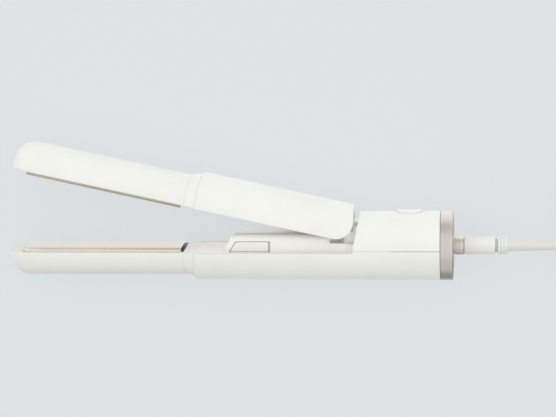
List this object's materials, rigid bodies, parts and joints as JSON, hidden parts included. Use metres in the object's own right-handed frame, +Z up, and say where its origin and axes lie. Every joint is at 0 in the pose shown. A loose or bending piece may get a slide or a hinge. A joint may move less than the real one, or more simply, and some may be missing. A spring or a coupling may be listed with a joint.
{
  "type": "hair iron",
  "caption": "Two-way hair iron with sprung arms, smooth floating heated plates in a round barrel, round handle, control block with mode key, metal ring, swivel cord and coiled lead with plug.",
  "frame": {"origin": "middle of the iron's box, cord left out, on the table that it lies on", "axes": "+X from the tips to the cord along the lower arm, +Y the way the arms open, +Z up from the table, across the plates"},
  "size_m": [0.4162, 0.0878, 0.0365],
  "materials": {
    "white_plastic": "warm white, satin gloss",
    "heat_plastic": "warm white, satin",
    "satin_trim": "greige satin metal finish",
    "plate_metal": "pale gold ceramic coating, smooth",
    "carrier_plastic": "black heat-resistant plastic",
    "heater_ceramic": "ceramic, dense",
    "steel": "plain",
    "spring_steel": "bright wire",
    "circuit_board": "green board",
    "switch_plastic": "black",
    "cord_jacket": "white soft plastic, satin",
    "tie_strap": "light grey strap",
    "plug_metal": "nickel plated"
  },
  "bodies": {
    "body": {"lower_handle_shell": "white_plastic", "rear_top_shell": "white_plastic", "inner_cover": "white_plastic", "lower_collar": "heat_plastic", "lower_barrel_shell": "heat_plastic", "trim_ring": "satin_trim", "end_cap": "satin_trim", "hinge_bracket": "white_plastic", "hinge_pin": "steel", "hinge_spring": "spring_steel", "control_board": "circuit_board", "power_switch": "switch_plastic", "key_board": "circuit_board", "housing_screws": "steel", "lower_plate_springs": "spring_steel", "cord_lead": "cord_jacket", "cord_coil": "cord_jacket", "cord_tie": "tie_strap", "cord_tail": "cord_jacket", "plug_body": "cord_jacket", "plug_pins": "plug_metal"},
    "upper_arm": {"upper_handle_shell": "white_plastic", "upper_liner": "white_plastic", "upper_collar": "heat_plastic", "upper_barrel_shell": "heat_plastic", "upper_plate_springs": "spring_steel", "upper_screws": "steel"},
    "lower_plate_set": {"lower_plate": "plate_metal", "lower_heater": "heater_ceramic", "lower_heater_clip": "steel", "lower_plate_carrier": "carrier_plastic", "thermal_fuse": "steel"},
    "upper_plate_set": {"upper_plate": "plate_metal", "upper_heater": "heater_ceramic", "upper_heater_clip": "steel", "upper_plate_carrier": "carrier_plastic", "thermistor": "heater_ceramic"},
    "mode_key": {"mode_key": "heat_plastic"},
    "power_button": {"power_button": "white_plastic"},
    "cord_swivel": {"cord_swivel": "heat_plastic"}
  },
  "joints": [
    {"name": "arm_hinge", "type": "hinge", "parent": "body", "child": "upper_arm", "pos_m": [0.06935, -0.00829, 0.01825], "axis": [0, 0, 1], "range_deg": [0, 12.4], "stiffness_Nm_per_rad": 1.2, "springref_deg": -8.59, "deforming": ["hinge_spring"]},
    {"name": "lower_plate_float", "type": "slide", "parent": "body", "child": "lower_plate_set", "axis": [0, -1, 0], "range_m": [0, 0.0008], "stiffness_N_per_m": 5000, "springref_m": -0.0006, "deforming": ["lower_plate_springs"]},
    {"name": "upper_plate_float", "type": "slide", "parent": "upper_arm", "child": "upper_plate_set", "axis": [0.2147, 0.9767, 0], "range_m": [0, 0.0008], "stiffness_N_per_m": 5000, "springref_m": -0.0006, "deforming": ["upper_plate_springs"]},
    {"name": "power_button_press", "type": "slide", "parent": "body", "child": "power_button", "axis": [0, -1, 0], "range_m": [0, 0.0006], "stiffness_N_per_m": 2500, "springref_m": -0.0002},
    {"name": "mode_key_press", "type": "slide", "parent": "body", "child": "mode_key", "axis": [0, 0, -1], "range_m": [0, 0.0006], "stiffness_N_per_m": 2500, "springref_m": -0.0002},
    {"name": "cord_swivel_turn", "type": "hinge", "parent": "body", "child": "cord_swivel", "pos_m": [0.12065, -0.01889, 0.01825], "axis": [1, 0, 0], "continuous": true}
  ]
}
